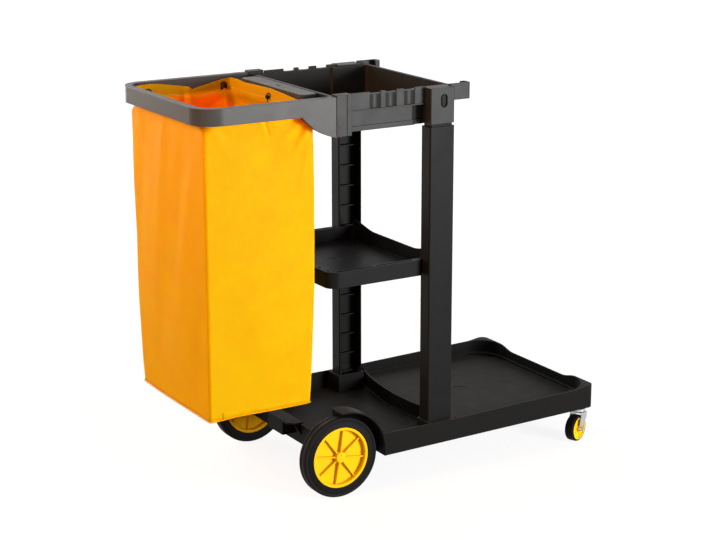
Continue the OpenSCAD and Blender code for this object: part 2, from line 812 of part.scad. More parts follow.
// A piece at each peg place, pointing into the bag
module at_pegs() {
    both_sides() for (p = side_pegs()) translate([p, bar_reach, peg_z]) rotate([90, 0, 0]) children();
    translate([rail_x0 + rail_w, 0, peg_z]) rotate([0, 90, 0]) rotate(90) children();
    translate([bar_x0, 0, peg_z]) rotate([0, -90, 0]) rotate(-90) children();
}

module bag_pegs() color(black) at_pegs() peg();
module bag_eyelets() color(black) at_pegs() eyelet();

// Rear wheels

// A piece of the right wheel, drawn with its inner face at the origin and +Z outwards
module at_wheel() translate([axle_x, -wheel_in, axle_z]) rotate([90, 0, 0]) children();
module at_left() mirror([0, 1, 0]) children();

// Edge of the hub that the tyre sits on
function hub_seat(gap) = [[hub_r + gap, hub_lip], [hub_r + gap, 6], [hub_r - 3.5 + gap, 9],
    [hub_r - 3.5 + gap, wheel_w - 9], [hub_r + gap, wheel_w - 6], [hub_r + gap, wheel_w - hub_lip]];

module wheel_tyre() {
    c = 5;
    rotate_extrude() difference() {
        union() {
            translate([hub_r - 8, 0]) square([wheel_r - hub_r + 8 - c, wheel_w]);
            translate([hub_r - 8, c]) square([wheel_r - hub_r + 8, wheel_w - 2 * c]);
            for (z = [c, wheel_w - c]) translate([wheel_r - c, z]) circle(c, $fn = 48);
        }
        polygon(concat([[0, -1], [hub_r + snug, -1]], hub_seat(snug),
            [[hub_r + snug, wheel_w + 1], [0, wheel_w + 1]]));
        for (z = [0, wheel_w]) translate([wheel_r - 10, z]) circle(1, $fn = 16);
    }
}

module wheel_hub() difference() {
    union() {
        rotate_extrude() polygon(concat([[hub_r - 7, hub_lip]], hub_seat(0),
            [[hub_r - 7, wheel_w - hub_lip]]));
        translate([0, 0, wheel_w / 2 - 2]) cylinder(r = hub_r - 5, h = 4);
        translate([0, 0, 1]) cylinder(r = boss_w, h = wheel_w - 4);
        for (i = [0:hub_ribs - 1]) rotate(i * 360 / hub_ribs - 9) rotate([90, 0, 0])
            translate([0, 0, -1.5]) linear_extrude(3)
                polygon([[12, 4], [hub_r - 6, 7], [hub_r - 6, wheel_w - 7], [12, wheel_w - 4]]);
    }
    translate([0, 0, -1]) cylinder(r = bush_r, h = bush_end + 1);
    translate([0, 0, bush_end - 0.01]) cylinder(r = hub_pocket, h = 20);
    rotate(180 / hub_ribs - 9) translate([23, 0, wheel_w / 2 + 0.6]) cylinder(r = 2.2, h = 20);
}

module wheel_bush() difference() {
    translate([0, 0, 1]) cylinder(r = bush_r, h = bush_end - 1);
    cylinder(r = axle_r + run, h = 80, center = true);
}

module wheel_cap() difference() {
    rotate_extrude() polygon([[0, wheel_w - 4.4], [hub_pocket - 0.1, wheel_w - 4.4],
        [hub_pocket - 0.1, wheel_w - 3], [boss_w - 0.8, wheel_w - 3], [boss_w - 0.8, wheel_w - 1.2],
        [boss_w - 3, wheel_w - 0.2], [6, wheel_w + 0.2], [0, wheel_w + 0.2]]);
    translate([0, 6.5, wheel_w - 1.5]) cylinder(r = 1.5, h = 5);
}

module right_tyre() color(black) at_wheel() wheel_tyre();
module right_hub() color(yellow) at_wheel() wheel_hub();
module right_bush() color(black) at_wheel() wheel_bush();
module right_cap() color(yellow) at_wheel() wheel_cap();
module left_tyre() color(black) at_left() at_wheel() wheel_tyre();
module left_hub() color(yellow) at_left() at_wheel() wheel_hub();
module left_bush() color(black) at_left() at_wheel() wheel_bush();
module left_cap() color(yellow) at_left() at_wheel() wheel_cap();

module rear_axle() color(steel) translate([axle_x, 0, axle_z]) rotate([90, 0, 0]) difference() {
    cylinder(r = axle_r, h = 2 * axle_end, center = true);
    for (s = [-1, 1]) translate([0, 0, s * (wheel_in + clip_z + clip_t / 2)]) difference() {
        cylinder(r = axle_r + 1, h = clip_t, center = true);
        cylinder(r = axle_r - 1, h = clip_t + 1, center = true);
    }
}

module axle_spacers() color(steel) both_sides() at_wheel() difference() {
    translate([0, 0, well_y - wheel_in]) cylinder(r = axle_r + 5, h = wheel_in - well_y + 0.6);
    cylinder(r = axle_r + press, h = 40, center = true);
}

module axle_clips() color(steel) both_sides() at_wheel() translate([0, 0, clip_z]) difference() {
    cylinder(r = axle_r + 2.6, h = clip_t);
    translate([0, 0, -1]) cylinder(r = axle_r - 1, h = 4);
    translate([0, -2, -1]) cube([20, 4, 4]);
}

// Casters

// A piece of a caster, drawn round its stem with the wheel trailing along -X
module at_caster(side) translate([stem_x, side * stem_y, 0]) rotate(caster_turn) children();

// A piece of a caster wheel, drawn with its axle along Z
module at_roller(side) at_caster(side)
    translate([-caster_trail, 0, caster_r]) rotate([90, 0, 0]) children();

// The stem in the base, the raceway cup and the rivet that the fork turns on
module caster_stem() {
    top = boss_z;
    under = crown_z - 0.4;
    rotate_extrude() polygon([[0, deck_z - 6], [stem_r - 1, deck_z - 6], [stem_r, deck_z - 7],
        [stem_r, top], [17, top], [17, top - cup_h], [15, top - cup_h], [15, top - 3],
        [stem_r - 0.5, top - 3], [stem_r - 0.5, under], [7, under], [7, under - 1.5],
        [5, under - 3], [0, under - 3]]);
}

module caster_balls() for (i = [0:9]) rotate(i * 36)
    translate([ball_ring, 0, boss_z - 3 - ball_r]) sphere(ball_r, $fn = 32);

// Side view of a fork leg, from the crown to the axle
module leg_outline() difference() {
    union() {
        polygon([[-crown_l - 3, crown_z + crown_t], [crown_l, crown_z + crown_t], [crown_l - 1, crown_z - 12],
            [8 - caster_trail, caster_r], [-8 - caster_trail, caster_r]]);
        translate([-caster_trail, caster_r]) circle(8, $fn = 48);
    }
    translate([-caster_trail, caster_r]) circle(bolt_r + press, $fn = 48);
}

module caster_fork() difference() {
    union() {
        box([-crown_l - 3, -leg_in - leg_t, crown_z], [crown_l, leg_in + leg_t, crown_z + crown_t]);
        translate([0, 0, crown_z]) cylinder(r = crown_l + 5, h = crown_t);
        for (y = [-leg_in - leg_t, leg_in]) along_y(y, y + leg_t) leg_outline();
    }
    translate([0, 0, crown_z - 1]) cylinder(r = stem_r - 0.5 + run, h = 10);
}

module caster_bolt() {
    reach = leg_in + leg_t;
    translate([0, 0, -reach - 6]) cylinder(r = bolt_r, h = 2 * reach + 7);
    translate([0, 0, reach]) cylinder(r = 5.5, h = 3.4, $fn = 6);
}

module caster_nut() translate([0, 0, -leg_in - leg_t - 4.5]) difference() {
    cylinder(r = 5.8, h = 4.5, $fn = 6);
    translate([0, 0, -1]) cylinder(r = bolt_r + press, h = 8);
}

// Radius of the hub of a caster wheel
function roller_r() = caster_r - 5;

module caster_hub() difference() {
    union() {
        difference() {
            cylinder(r = roller_r(), h = caster_w - 2, center = true);
            for (s = [-1, 1]) translate([0, 0, s * caster_w / 2])
                cylinder(r = roller_r() - 4, h = 9, center = true);
        }
        cylinder(r = 8.5, h = caster_w + 4, center = true);
        for (i = [0:4]) rotate(i * 72) translate([roller_r() / 2 + 3, 0, 0])
            cube([roller_r() - 6, 3, caster_w - 6], center = true);
    }
    cylinder(r = bolt_r + run, h = 60, center = true);
}

module caster_tyre() {
    c = 6;
    half = caster_w / 2;
    rotate_extrude() difference() {
        union() {
            translate([roller_r() - 4, c - half]) square([caster_r - roller_r() + 4, caster_w - 2 * c]);
            for (z = [c - half, half - c]) translate([caster_r - c, z]) circle(c, $fn = 48);
        }
        translate([0, -half - 1]) square([roller_r() + snug, caster_w + 2]);
    }
}

module right_caster_stem() color(zinc) at_caster(-1) caster_stem();
module left_caster_stem() color(zinc) at_caster(1) caster_stem();
module right_caster_balls() color(steel) at_caster(-1) caster_balls();
module left_caster_balls() color(steel) at_caster(1) caster_balls();
module right_caster_fork() color(zinc) at_caster(-1) caster_fork();
module left_caster_fork() color(zinc) at_caster(1) caster_fork();
module right_caster_bolt() color(steel) at_roller(-1) caster_bolt();
module left_caster_bolt() color(steel) at_roller(1) caster_bolt();
module right_caster_nut() color(steel) at_roller(-1) caster_nut();
module left_caster_nut() color(steel) at_roller(1) caster_nut();
module right_caster_hub() color(yellow) at_roller(-1) caster_hub();
module left_caster_hub() color(yellow) at_roller(1) caster_hub();
module right_caster_tyre() color(black) at_roller(-1) caster_tyre();
module left_caster_tyre() color(black) at_roller(1) caster_tyre();

// Fasteners

// A pan-head screw along +Z, its head seated on the face at the origin
module screw(r, l) rotate_extrude() polygon([[0, -2.6], [r + 1.4, -2.6], [r + 2.6, -1.4], [r + 2.6, 0],
    [r, 0], [r, l - 2], [r - 1, l], [0, l]]);

module post_foot_screws() color(steel) both_sides()
    translate([post_x, (spig_in + spig_out) / 2, well_z - deck_t]) screw(screw_r, 20);

module bag_frame_screws() color(steel) both_sides()
    translate([tongue_mid[0], tongue_mid[1], lug_z]) screw(screw_r, 30);

module shelf_pegs() color(plastic) both_sides()
    translate([post_x + post_w / 2, post_in + 13, (tongue_b + tongue_t) / 2])
        rotate([0, -90, 0]) screw(pin_r, 28);

base_deck();
left_post();
right_post();
mid_shelf();
top_tray();
bag_frame();
bag_crossbar();
bag();
bag_pegs();
bag_eyelets();
rear_axle();
axle_spacers();
axle_clips();
right_hub();
left_hub();
right_bush();
left_bush();
right_cap();
left_cap();
right_tyre();
left_tyre();
right_caster_stem();
left_caster_stem();
right_caster_balls();
left_caster_balls();
right_caster_fork();
left_caster_fork();
right_caster_bolt();
left_caster_bolt();
right_caster_nut();
left_caster_nut();
right_caster_hub();
left_caster_hub();
right_caster_tyre();
left_caster_tyre();
post_foot_screws();
bag_frame_screws();
shelf_pegs();
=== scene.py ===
# %% [markdown]
# A janitor cart: a moulded base on two big wheels and two casters, two posts, a shelf,
# a tray, and a cloth bag in a frame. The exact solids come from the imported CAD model.
# This script gives them their finishes, makes the soft bag and the rubber tyres as new
# surfaces, and sets up the camera and the light of a plain studio.

# %% Load the frame
import bmesh
import bpy
import numpy as np
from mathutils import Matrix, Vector


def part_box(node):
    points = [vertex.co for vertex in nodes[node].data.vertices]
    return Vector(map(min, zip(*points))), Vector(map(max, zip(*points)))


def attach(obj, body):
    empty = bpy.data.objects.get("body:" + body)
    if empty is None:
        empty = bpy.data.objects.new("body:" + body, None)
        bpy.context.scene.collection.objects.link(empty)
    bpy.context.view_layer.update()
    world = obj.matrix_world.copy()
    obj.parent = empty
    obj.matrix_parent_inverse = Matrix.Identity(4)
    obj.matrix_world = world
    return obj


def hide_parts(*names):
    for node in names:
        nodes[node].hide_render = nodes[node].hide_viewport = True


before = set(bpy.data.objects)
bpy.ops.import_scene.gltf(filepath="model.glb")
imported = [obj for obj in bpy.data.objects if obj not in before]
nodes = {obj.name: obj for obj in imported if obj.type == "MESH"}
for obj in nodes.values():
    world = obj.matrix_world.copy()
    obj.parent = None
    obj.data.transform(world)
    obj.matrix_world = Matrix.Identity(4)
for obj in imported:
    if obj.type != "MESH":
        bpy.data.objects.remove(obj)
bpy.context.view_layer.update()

# %% [markdown]
# A few small helpers serve the whole file. A colour is written as the sRGB hex value that
# a paint chart would give, and Blender works in linear light, so one function turns one
# into the other. One function adds a shader node with its settings and links, and one
# starts a material. One makes a mesh from a grid of points, because every new piece here
# is a surface of two parameters, and one closes such a mesh where points meet.

# %% Helpers
def colour(code):
    """Linear RGBA of an sRGB hex code: c / 12.92 below 0.04045, else ((c + 0.055) / 1.055) ^ 2.4."""
    c = np.array([int(code[i:i + 2], 16) for i in (1, 3, 5)]) / 255
    lin = np.where(c <= 0.04045, c / 12.92, ((c + 0.055) / 1.055) ** 2.4)
    return (*lin.tolist(), 1.0)


def node(tree, kind, inputs=None, **settings):
    """One shader node: settings are its properties, and inputs are values or sockets to link."""
    n = tree.nodes.new("ShaderNode" + kind)
    for key, value in settings.items():
        setattr(n, key, value)
    for key, value in (inputs or {}).items():
        if isinstance(value, bpy.types.NodeSocket):
            tree.links.new(value, n.inputs[key])
        else:
            n.inputs[key].default_value = value
    return n


def finish(name):
    """A new material with an empty node tree and its output node."""
    m = bpy.data.materials.new(name)
    m.use_nodes = True
    m.node_tree.nodes.clear()
    return m, m.node_tree, node(m.node_tree, "OutputMaterial")


def surface(name, points, closed=False, uv=None):
    """A mesh on a grid of points (rows, columns, 3). Faces join each point to the next in its row and
    its column, and closed joins the last column to the first. uv holds (rows, columns + closed, 2)."""
    rows, cols = points.shape[:2]
    here = np.arange(rows * cols).reshape(rows, cols)
    right = np.roll(here, -1, 1)
    last = cols if closed else cols - 1
    quads = np.stack([here[:-1, :last], right[:-1, :last], right[1:, :last], here[1:, :last]], -1)
    mesh = bpy.data.meshes.new(name)
    mesh.from_pydata(points.reshape(-1, 3).tolist(), [], quads.reshape(-1, 4).tolist())
    mesh.polygons.foreach_set("use_smooth", np.ones(len(mesh.polygons), bool))
    if uv is not None:
        corners = np.stack([uv[:-1, :last], uv[:-1, 1:last + 1], uv[1:, 1:last + 1], uv[1:, :last]], 2)
        mesh.uv_layers.new(name="cloth").uv.foreach_set("vector", corners.reshape(-1).astype(np.float32))
    ob = bpy.data.objects.new(name, mesh)
    bpy.context.scene.collection.objects.link(ob)
    return ob


def weld(ob):
    """Merges points that lie on each other, as at a pole, and drops the faces that vanish."""
    bm = bmesh.new()
    bm.from_mesh(ob.data)
    bmesh.ops.remove_doubles(bm, verts=bm.verts, dist=1e-6)
    bmesh.ops.dissolve_degenerate(bm, edges=bm.edges, dist=1e-7)
    bm.to_mesh(ob.data)
    bm.free()


print("a middle grey, #808080, in linear light:", round(colour("#808080")[0], 3))

# %% [markdown]
# The camera stands where the photographer stood: in front and to the bag's side, about
# 4.6 m away and a little above the cart, with a long lens. Its place was worked out from
# corners of the cart that were found in the photograph. A small shift puts the middle of
# the lens where it was in the picture.

# %% Camera
SENSOR = 36.0
# The picture's width, the focal length and the shift of the lens, all in pixels
WIDE, FOCAL_PX, SHIFT_PX = 716, 1836.9, (-6.74, -2.38)
eye = Vector((-2.3507, -3.8498, 1.7015))
aim = Vector((-0.00433, -0.01717, 0.4999))
lens = bpy.data.cameras.new("photo_camera")
lens.sensor_fit = "HORIZONTAL"
lens.sensor_width = SENSOR
lens.lens = FOCAL_PX * SENSOR / WIDE
lens.shift_x = SHIFT_PX[0] / WIDE
lens.shift_y = SHIFT_PX[1] / WIDE
lens.clip_end = 200.0
camera = bpy.data.objects.new("photo_camera", lens)
camera.location = eye
camera.rotation_euler = (aim - eye).to_track_quat("-Z", "Y").to_euler()
bpy.context.scene.collection.objects.link(camera)
bpy.context.scene.camera = camera
bpy.context.scene.view_settings.view_transform = "Standard"
print("camera", round((aim - eye).length, 3), "m away, lens", round(lens.lens, 1), "mm")

# %% [markdown]
# The light in a picture of a product is soft, because it comes from large panels. A sun or a
# point lamp would give hard shadows, so three square area lamps are used. A low one stands
# in front on the right, so the long side of the bag is the bright one and the insides stay
# dark. A warm one on the left gives the short side its deeper tone, and a wide one behind
# shines through the cloth.

# %% Lamps
def lamp(name, place, target, size, power, tint="#FFFFFF"):
    """A square area lamp at a place, turned to a target, with a power in watts and a tint."""
    data = bpy.data.lights.new(name, "AREA")
    data.color = colour(tint)[:3]
    data.shape = "SQUARE"
    data.size = size
    data.energy = power
    ob = bpy.data.objects.new(name, data)
    ob.location = place
    ob.rotation_euler = (Vector(target) - Vector(place)).to_track_quat("-Z", "Y").to_euler()
    bpy.context.scene.collection.objects.link(ob)


lamp("front_lamp", (1.9, -4.1, 0.95), (-0.1, 0.0, 0.6), size=1.5, power=300)
lamp("left_lamp", (-3.6, -0.3, 2.5), (-0.3, 0.0, 0.7), size=1.4, power=125, tint="#FFBC7C")
lamp("back_lamp", (-0.6, 4.4, 1.6), (-0.2, 0.0, 0.6), size=3.0, power=190)
print("lamps:", [light.name for light in bpy.data.lights])

# %% [markdown]
# The photograph has a white ground. A floor that is only lit would come out grey and uneven,
# so the floor and the world are white for the camera and in reflections, and dimmer for all
# other rays, so that they don't wash out the cart. The floor is lit by the lamps too, so the
# cart's shadow still falls on it, and its glow is turned down near the cart as a painted shade.

# %% White ground
def seen(tree):
    """1 for the rays that show the ground: those from the camera, off gloss and through glass."""
    path = node(tree, "LightPath")
    gloss = node(tree, "Math", {0: path.outputs["Is Camera Ray"], 1: path.outputs["Is Glossy Ray"]},
                 operation="MAXIMUM").outputs[0]
    return node(tree, "Math", {0: gloss, 1: path.outputs["Is Transmission Ray"]},
                operation="MAXIMUM").outputs[0]


world = bpy.data.worlds.new("white_studio")
bpy.context.scene.world = world
world.use_nodes = True
sky = world.node_tree
sky.nodes.clear()
soft = node(sky, "Background", {"Color": colour("#FFFAF2"), "Strength": 0.26})
white = node(sky, "Background", {"Color": (1, 1, 1, 1), "Strength": 1.0})
both = node(sky, "MixShader", {0: seen(sky), 1: soft.outputs[0], 2: white.outputs[0]})
node(sky, "OutputWorld", {"Surface": both.outputs[0]})

FLOOR_HALF = 40.0
# The glow near the cart and far from it, and the distances in metres for both. The lower glow
# near the cart is a painted shade round it.
GLOW_WITH_PAINTED_SHADE, GLOW_AT = (0.88, 1.0), (1.0, 4.0)
# How much of the lamps' light the floor leaves out where it is seen
LAMP_CUT = 0.62
side = np.linspace(-FLOOR_HALF, FLOOR_HALF, 3)
flat = np.stack([*np.meshgrid(side, side), np.zeros((3, 3))], -1)
floor = surface("studio_floor", flat)
paper, tree, out = finish("white_paper_floor")
matt = node(tree, "BsdfDiffuse", {"Color": colour("#B4B4B4")})
place = node(tree, "TexCoord").outputs["Object"]
away = node(tree, "VectorMath", {0: place}, operation="LENGTH").outputs["Value"]
# Painted shade: the floor glows less near the cart than far from it, whatever the lamps do
level = node(tree, "MapRange", {"Value": away, "From Min": GLOW_AT[0], "From Max": GLOW_AT[1],
                                "To Min": GLOW_WITH_PAINTED_SHADE[0], "To Max": GLOW_WITH_PAINTED_SHADE[1]}).outputs[0]
glow = node(tree, "Emission", {"Color": (1, 1, 1, 1), "Strength": level})
share = node(tree, "Math", {0: seen(tree), 1: LAMP_CUT}, operation="MULTIPLY").outputs[0]
lit = node(tree, "MixShader", {0: share, 1: matt.outputs[0]})
shown = node(tree, "MixShader", {0: seen(tree), 2: glow.outputs[0]})
ground = node(tree, "AddShader", {0: lit.outputs[0], 1: shown.outputs[0]})
tree.links.new(ground.outputs[0], out.inputs["Surface"])
floor.data.materials.append(paper)
print("floor", 2 * FLOOR_HALF, "m wide")

# %% [markdown]
# The cart is moulded from polypropylene, coloured through with carbon black. A spark-eroded
# mould leaves a fine grain, edges have a small round that catches the light, and handled
# edges wear a little paler. A real round on every edge would add many faces, so a Bevel node
# rounds only the shading there, and the difference between the round and the flat normal
# finds the edges for the wear.

# %% Moulded plastic
MM = 0.001
# Sizes of the slow mottle and of the grain, in metres
MOTTLE, GRAIN = 0.040, 0.0024
# Wear reaches this much further from an edge than its round
WEAR_REACH = 2.2


def moulded(name, base, worn, rough, shine, edge=1.6, wear=0.5, dust=0.0):
    """Moulded polypropylene: mottle 40 mm wide, grain 2.4 mm wide (a real grain of 0.2 mm is too fine to
    show), rounded edges of a radius in millimetres, paler wear along them and dust on faces that look up."""
    m, tree, out = finish(name)
    place = node(tree, "TexCoord").outputs["Object"]
    facing = node(tree, "NewGeometry").outputs["Normal"]
    round_edge = node(tree, "Bevel", {"Radius": edge * MM}, samples=6).outputs["Normal"]
    wide_edge = node(tree, "Bevel", {"Radius": WEAR_REACH * edge * MM}, samples=6).outputs["Normal"]
    mottle = node(tree, "TexNoise", {"Vector": place, "Scale": 1 / MOTTLE, "Detail": 5.0, "Roughness": 0.62})
    grain = node(tree, "TexNoise", {"Vector": place, "Scale": 1 / GRAIN, "Detail": 2.0, "Roughness": 0.5})
    bend = node(tree, "VectorMath", {0: wide_edge, 1: facing}, operation="DOT_PRODUCT")
    edges = node(tree, "MapRange", {"Value": bend.outputs["Value"], "From Min": 0.985, "From Max": 0.80,
                                    "To Min": 0.0, "To Max": wear})
    patch = node(tree, "MapRange", {"Value": mottle.outputs["Fac"], "From Min": 0.40, "From Max": 0.66})
    rubbed = node(tree, "Math", {0: edges.outputs[0], 1: patch.outputs[0]}, operation="MULTIPLY").outputs[0]
    pale = node(tree, "Mix", {"Factor": mottle.outputs["Fac"], "A": colour(base), "B": colour(worn)},
                data_type="RGBA").outputs["Result"]
    body = node(tree, "Mix", {"Factor": 0.12, "A": colour(base), "B": pale},
                data_type="RGBA").outputs["Result"]
    tinted = node(tree, "Mix", {"Factor": rubbed, "A": body, "B": colour(worn)},
                  data_type="RGBA").outputs["Result"]
    if dust:
        up = node(tree, "SeparateXYZ", {0: facing}).outputs["Z"]
        lies = node(tree, "MapRange", {"Value": up, "From Min": 0.75, "From Max": 0.98,
                                       "To Max": dust}).outputs[0]
        even = node(tree, "MapRange", {"Value": mottle.outputs["Fac"], "To Min": 0.5}).outputs[0]
        film = node(tree, "Math", {0: lies, 1: even}, operation="MULTIPLY").outputs[0]
        tinted = node(tree, "Mix", {"Factor": film, "A": tinted, "B": colour("#8C857C")},
                      data_type="RGBA").outputs["Result"]
    gloss = node(tree, "MapRange", {"Value": mottle.outputs["Fac"], "From Min": 0.3, "From Max": 0.7,
                                    "To Min": rough - 0.05, "To Max": rough + 0.06}).outputs[0]
    skin = node(tree, "Bump", {"Strength": 0.10, "Distance": 0.4 * MM, "Height": grain.outputs["Fac"],
                               "Normal": round_edge}).outputs[0]
    p = node(tree, "BsdfPrincipled", {"Base Color": tinted, "Roughness": gloss, "Normal": skin,
                                      "IOR": 1.49, "Specular IOR Level": shine})
    tree.links.new(p.outputs[0], out.inputs["Surface"])
    return m


charcoal = moulded("charcoal_polypropylene", "#0F0F0F", "#302E2C", rough=0.52, shine=0.045, dust=0.07)
graphite = moulded("graphite_polypropylene", "#101010", "#302E2D", rough=0.42, shine=0.06)
grey_tray = moulded("tray_polypropylene", "#242424", "#464441", rough=0.38, shine=0.11)
satin = moulded("satin_grey_polypropylene", "#404040", "#666462", rough=0.34, shine=0.12, edge=2.2)
black_nylon = moulded("black_nylon", "#0E0E0E", "#2C2C2C", rough=0.45, shine=0.2, edge=0.6)
lemon = moulded("yellow_polypropylene", "#E3B200", "#F5CC40", rough=0.42, shine=0.08, edge=1.0, wear=0.25)
print("plastics:", [m.name for m in (charcoal, graphite, grey_tray, satin, black_nylon, lemon)])

# %% [markdown]
# The caster forks are pressed from sheet steel and zinc plated, which looks pale, slightly
# blue and a little cloudy. The axle, the bolts and the screws are bright drawn steel. A metal
# of one even tone and roughness would look too clean, so one function gives both of them
# cloudy patches, in which the tone and the roughness change.

# %% Metals
def plated(name, tone, cloud, rough, size):
    """Bright metal: cloudy patches of a size in millimetres change its tone and its roughness."""
    m, tree, out = finish(name)
    place = node(tree, "TexCoord").outputs["Object"]
    patches = node(tree, "TexNoise", {"Vector": place, "Scale": 1 / (size * MM), "Detail": 6.0,
                                      "Roughness": 0.6})
    fine = node(tree, "TexNoise", {"Vector": place, "Scale": 1 / (0.9 * MM), "Detail": 1.0})
    tint = node(tree, "Mix", {"Factor": patches.outputs["Fac"], "A": colour(tone), "B": colour(cloud)},
                data_type="RGBA").outputs["Result"]
    gloss = node(tree, "MapRange", {"Value": patches.outputs["Fac"], "From Min": 0.3, "From Max": 0.7,
                                    "To Min": rough - 0.07, "To Max": rough + 0.10}).outputs[0]
    edge = node(tree, "Bevel", {"Radius": 0.7 * MM}, samples=6).outputs["Normal"]
    skin = node(tree, "Bump", {"Strength": 0.06, "Distance": 0.2 * MM, "Height": fine.outputs["Fac"],
                               "Normal": edge}).outputs[0]
    p = node(tree, "BsdfPrincipled", {"Base Color": tint, "Metallic": 1.0, "Roughness": gloss,
                                      "Normal": skin})
    tree.links.new(p.outputs[0], out.inputs["Surface"])
    return m


zinc = plated("zinc_plated_steel", "#C6C9CC", "#9EA3A8", rough=0.34, size=9.0)
bright = plated("bright_drawn_steel", "#B9BABB", "#8F9092", rough=0.28, size=5.0)
print("metals:", zinc.name, bright.name)

# %% [markdown]
# The tyres are black rubber, matt from the mould. A pale bloom comes up on old rubber in
# patches, so a slow noise lightens it here and there, and a fine one gives it its grit.

# %% Tyre rubber
# Sizes of the patches of bloom and of the grit, in metres
BLOOM, GRIT = 0.022, 0.0016
rubber, tree, out = finish("black_tyre_rubber")
place = node(tree, "TexCoord").outputs["Object"]
bloom = node(tree, "TexNoise", {"Vector": place, "Scale": 1 / BLOOM, "Detail": 6.0, "Roughness": 0.65})
grit = node(tree, "TexNoise", {"Vector": place, "Scale": 1 / GRIT, "Detail": 2.0})
tint = node(tree, "Mix", {"Factor": bloom.outputs["Fac"], "A": colour("#0C0C0C"), "B": colour("#1A1919")},
            data_type="RGBA").outputs["Result"]
gloss = node(tree, "MapRange", {"Value": bloom.outputs["Fac"], "From Min": 0.3, "From Max": 0.7,
                                "To Min": 0.52, "To Max": 0.70}).outputs[0]
skin = node(tree, "Bump", {"Strength": 0.12, "Distance": 0.3 * MM, "Height": grit.outputs["Fac"]}).outputs[0]
p = node(tree, "BsdfPrincipled", {"Base Color": tint, "Roughness": gloss, "Normal": skin, "IOR": 1.52,
                                  "Specular IOR Level": 0.06})
tree.links.new(p.outputs[0], out.inputs["Surface"])
print("rubber:", rubber.name)

# %% [markdown]
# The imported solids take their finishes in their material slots. All of them keep their shape,
# apart from the bag and the rear tyres, which are made anew below. The base is charcoal, the
# posts and the shelf are graphite and a little glossier, the tray is greyer, and the rail of
# the bag frame and its crossbar, the smoothest mouldings, are satin grey. One table holds
# them all, so that a solid that was forgotten shows in what the cell prints.

# %% Finishes on the solids
worn_by = {
    charcoal: ["base_deck"],
    graphite: ["left_post", "right_post", "mid_shelf", "shelf_pegs"],
    grey_tray: ["top_tray"],
    satin: ["bag_frame", "bag_crossbar"],
    black_nylon: ["bag_pegs", "bag_eyelets", "right_bush", "left_bush"],
    lemon: ["right_hub", "left_hub", "right_cap", "left_cap", "right_caster_hub", "left_caster_hub"],
    zinc: ["right_caster_fork", "left_caster_fork", "right_caster_stem", "left_caster_stem"],
    bright: ["rear_axle", "axle_spacers", "axle_clips", "right_caster_balls", "left_caster_balls",
             "right_caster_bolt", "left_caster_bolt", "right_caster_nut", "left_caster_nut",
             "post_foot_screws", "bag_frame_screws"],
    rubber: ["right_tyre", "left_tyre", "right_caster_tyre", "left_caster_tyre"],
}
for material, names in worn_by.items():
    for name in names:
        mesh = nodes[name].data
        mesh.materials.clear()
        mesh.materials.append(material)
bare = set(nodes) - set(sum(worn_by.values(), [])) - {"bag"}
print("solids without a finish:", sorted(bare))

# %% [markdown]
# The rear tyres are turned shapes. Their solids have flat facets round the outline, so they
# are made anew, with more points round: a profile is carried round the axle, with a flat
# tread that has a fine line in its middle, round shoulders, a shallow ring on each side wall
# and a bead against the hub.

# %% Rear tyres
def turned(name, profile, middle, sign, count=192):
    """A profile of (radius, offset along Y) points carried round a line through middle along Y:
    x = radius cos t, z = radius sin t. sign sends the offsets to the right (-1) or the left (1)."""
    t = np.linspace(0, 2 * np.pi, count, endpoint=False)[:, None] * -sign
    r, off = profile[:, 0][None, :], profile[:, 1][None, :]
    pts = np.stack([middle[0] + r * np.cos(t), np.broadcast_to(middle[1] + sign * off, (count, len(profile))),
                    middle[2] + r * np.sin(t)], -1)
    ob = surface(name, np.concatenate([pts, pts[:1]]), closed=True)
    weld(ob)
    return ob


def arc(cx, cy, r, a0, a1, n):
    """n points on a circle from angle a0 to a1 in degrees."""
    a = np.radians(np.linspace(a0, a1, n))
    return np.stack([cx + r * np.cos(a), cy + r * np.sin(a)], -1)


# The profile in millimetres: the radius, and the way out from the tyre's inner face
HUB_R, TYRE_R, TYRE_W = 76.55, 101.6, 32.0
seat = np.array([[HUB_R, 1.5], [HUB_R, 6.0], [HUB_R - 3.5, 9.0],
                 [HUB_R - 3.5, 23.0], [HUB_R, 26.0], [HUB_R, 30.5]])
lip = arc(HUB_R + 1.4, 30.6, 1.4, 180, 60, 7)[1:]
groove = arc(TYRE_R - 9.0, 31.6, 0.9, 200, 340, 7)
shoulder = arc(TYRE_R - 5.0, 26.8, 5.0, 84, 6, 14)
outer_wall = np.concatenate([[[HUB_R, 31.6]], lip, [[HUB_R + 3.0, 31.2]], groove, shoulder])
inner_wall = (outer_wall * [1, -1] + [0, TYRE_W])[::-1]
tread = np.array([[TYRE_R, 24.0], [TYRE_R, 16.4], [TYRE_R - 0.25, 16.0], [TYRE_R, 15.6], [TYRE_R, 8.0]])
ring = np.concatenate([outer_wall, tread, inner_wall, seat]) * MM
for side_name, sign in (("right", -1), ("left", 1)):
    lo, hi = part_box(side_name + "_tyre")
    middle = ((lo.x + hi.x) / 2, sign * min(abs(lo.y), abs(hi.y)), (lo.z + hi.z) / 2)
    tyre = turned(side_name + "_rubber_tyre", ring, middle, sign)
    tyre.data.materials.append(rubber)
    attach(tyre, side_name + "_wheel")
    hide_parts(side_name + "_tyre")
print("tyre profile points:", len(ring))

# %% [markdown]
# The bag is sewn from coated nylon and hangs from pegs in the frame. It could be simulated
# as cloth, but a lofted shell gives the same bag each time, and it can be set to what the
# photograph shows. At each height its plan is a four-cornered ring with its own corner places
# and corner rounds. Inside the frame the corners follow the rail, below it the bag fills
# out, and towards the foot it draws in again.

